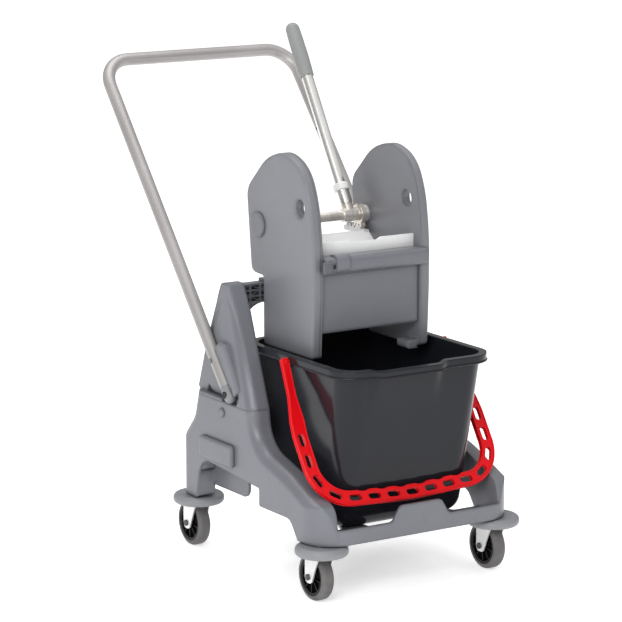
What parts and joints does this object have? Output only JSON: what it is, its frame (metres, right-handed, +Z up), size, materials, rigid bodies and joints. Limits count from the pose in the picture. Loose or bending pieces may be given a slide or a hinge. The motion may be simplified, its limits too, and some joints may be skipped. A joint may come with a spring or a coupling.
{
  "type": "mop bucket trolley",
  "caption": "Mop trolley: moulded base on swivel castors, lift-out pail with a carrying bail, lever press wringer over it and a folding tube push handle.",
  "frame": {"origin": "on the floor, under the middle of the four castor stems", "axes": "+Z up, front towards -Y, +X to the right of someone facing the front"},
  "size_m": [0.43, 0.732, 0.8862],
  "materials": {
    "body_grey": "fine moulded grain, satin",
    "pail_black": "smooth moulded, satin",
    "bail_red": "smooth moulded",
    "white_plastic": "smooth moulded",
    "grip_grey": "fine grain",
    "chrome": "bright plated",
    "handle_metal": "satin powder coat",
    "shaft_steel": "turned, slightly tarnished",
    "zinc": "zinc plated",
    "tyre_grey": "matt rubber",
    "hub_black": "moulded",
    "bumper_grey": "moulded, satin"
  },
  "bodies": {
    "chassis": {"base_frame": "body_grey", "column_arch": "body_grey", "column_bolts": "zinc", "side_cover_left": "body_grey", "side_cover_right": "body_grey", "castor_stems": "zinc", "handle_pivots": "zinc"},
    "push_handle": {"push_handle_tube": "handle_metal", "handle_end_left": "body_grey", "handle_end_right": "body_grey"},
    "lock_button_left": {"lock_button_left": "pail_black"},
    "lock_button_right": {"lock_button_right": "pail_black"},
    "bucket": {"pail": "pail_black"},
    "bail": {"bail": "bail_red"},
    "wringer": {"side_plate_left": "body_grey", "side_plate_right": "body_grey", "plate_liner_left": "body_grey", "plate_liner_right": "body_grey", "shaft_bush_left": "white_plastic", "shaft_bush_right": "white_plastic", "shaft_cap_left": "body_grey", "shaft_cap_right": "body_grey", "front_rail": "body_grey", "front_panel": "body_grey", "sieve_wall": "white_plastic", "basket_floor": "white_plastic", "hanger_bar": "body_grey", "wringer_screws": "zinc"},
    "rail_latch": {"rail_latch": "body_grey"},
    "lever": {"lever_shaft": "shaft_steel", "lever_tee": "shaft_steel", "lever_ferrule": "chrome", "lever_collar": "white_plastic", "lever_tube": "chrome", "lever_grip": "grip_grey", "pinion_left": "white_plastic", "pinion_right": "white_plastic"},
    "press": {"press_plate": "white_plastic"},
    "bumper_front_left": {"bumper_front_left": "bumper_grey"},
    "swivel_front_left": {"fork_front_left": "zinc", "axle_front_left": "zinc"},
    "wheel_front_left": {"hub_front_left": "hub_black", "tyre_front_left": "tyre_grey"},
    "bumper_front_right": {"bumper_front_right": "bumper_grey"},
    "swivel_front_right": {"fork_front_right": "zinc", "axle_front_right": "zinc"},
    "wheel_front_right": {"hub_front_right": "hub_black", "tyre_front_right": "tyre_grey"},
    "bumper_rear_left": {"bumper_rear_left": "bumper_grey"},
    "swivel_rear_left": {"fork_rear_left": "zinc", "axle_rear_left": "zinc"},
    "wheel_rear_left": {"hub_rear_left": "hub_black", "tyre_rear_left": "tyre_grey"},
    "bumper_rear_right": {"bumper_rear_right": "bumper_grey"},
    "swivel_rear_right": {"fork_rear_right": "zinc", "axle_rear_right": "zinc"},
    "wheel_rear_right": {"hub_rear_right": "hub_black", "tyre_rear_right": "tyre_grey"}
  },
  "joints": [
    {"name": "push_handle_fold", "type": "hinge", "parent": "chassis", "child": "push_handle", "pos_m": [0, 0.0525, 0.299], "axis": [-1, 0, 0], "range_deg": [0, 50]},
    {"name": "lock_button_left_press", "type": "slide", "parent": "push_handle", "child": "lock_button_left", "axis": [1, 0, 0], "range_m": [0, 0.0024], "stiffness_N_per_m": 400, "springref_m": -0.003},
    {"name": "lock_button_right_press", "type": "slide", "parent": "push_handle", "child": "lock_button_right", "axis": [-1, 0, 0], "range_m": [0, 0.0024], "stiffness_N_per_m": 400, "springref_m": -0.003},
    {"name": "bucket_lift", "type": "slide", "parent": "chassis", "child": "bucket", "axis": [0, 0, 1], "range_m": [0, 0.05]},
    {"name": "bail_swing", "type": "hinge", "parent": "bucket", "child": "bail", "pos_m": [0, -0.0633, 0.371], "axis": [-1, 0, 0], "range_deg": [0, 130]},
    {"name": "wringer_lift", "type": "slide", "parent": "chassis", "child": "wringer", "axis": [0, 0, 1], "range_m": [0, 0.2]},
    {"name": "rail_latch_slide", "type": "slide", "parent": "wringer", "child": "rail_latch", "axis": [1, 0, 0], "range_m": [0, 0.009], "stiffness_N_per_m": 300, "springref_m": -0.004},
    {"name": "lever_pull", "type": "hinge", "parent": "wringer", "child": "lever", "pos_m": [0, 0.0845, 0.5745], "axis": [-1, 0, 0], "range_deg": [0, 80], "stiffness_Nm_per_rad": 1.5, "springref_deg": -57.3},
    {"name": "press_slide", "type": "slide", "parent": "wringer", "child": "press", "axis": [0, -1, 0], "range_m": [0, 0.0294]},
    {"name": "bumper_front_left_roll", "type": "hinge", "parent": "chassis", "child": "bumper_front_left", "pos_m": [-0.171, -0.195, 0.09], "axis": [0, 0, 1], "continuous": true},
    {"name": "swivel_front_left_turn", "type": "hinge", "parent": "chassis", "child": "swivel_front_left", "pos_m": [-0.171, -0.195, 0.083], "axis": [0, 0, 1], "continuous": true},
    {"name": "wheel_front_left_roll", "type": "hinge", "parent": "swivel_front_left", "child": "wheel_front_left", "pos_m": [-0.171, -0.179, 0.04], "axis": [1, 0, 0], "continuous": true},
    {"name": "bumper_front_right_roll", "type": "hinge", "parent": "chassis", "child": "bumper_front_right", "pos_m": [0.171, -0.195, 0.09], "axis": [0, 0, 1], "continuous": true},
    {"name": "swivel_front_right_turn", "type": "hinge", "parent": "chassis", "child": "swivel_front_right", "pos_m": [0.171, -0.195, 0.083], "axis": [0, 0, 1], "continuous": true},
    {"name": "wheel_front_right_roll", "type": "hinge", "parent": "swivel_front_right", "child": "wheel_front_right", "pos_m": [0.171, -0.179, 0.04], "axis": [1, 0, 0], "continuous": true},
    {"name": "bumper_rear_left_roll", "type": "hinge", "parent": "chassis", "child": "bumper_rear_left", "pos_m": [-0.171, 0.195, 0.09], "axis": [0, 0, 1], "continuous": true},
    {"name": "swivel_rear_left_turn", "type": "hinge", "parent": "chassis", "child": "swivel_rear_left", "pos_m": [-0.171, 0.195, 0.083], "axis": [0, 0, 1], "continuous": true},
    {"name": "wheel_rear_left_roll", "type": "hinge", "parent": "swivel_rear_left", "child": "wheel_rear_left", "pos_m": [-0.171, 0.211, 0.04], "axis": [1, 0, 0], "continuous": true},
    {"name": "bumper_rear_right_roll", "type": "hinge", "parent": "chassis", "child": "bumper_rear_right", "pos_m": [0.171, 0.195, 0.09], "axis": [0, 0, 1], "continuous": true},
    {"name": "swivel_rear_right_turn", "type": "hinge", "parent": "chassis", "child": "swivel_rear_right", "pos_m": [0.171, 0.195, 0.083], "axis": [0, 0, 1], "continuous": true},
    {"name": "wheel_rear_right_roll", "type": "hinge", "parent": "swivel_rear_right", "child": "wheel_rear_right", "pos_m": [0.171, 0.211, 0.04], "axis": [1, 0, 0], "continuous": true}
  ],
  "couplings": [
    {"joint": "press_slide", "follows": "lever_pull", "m_per_rad": 0.021}
  ]
}
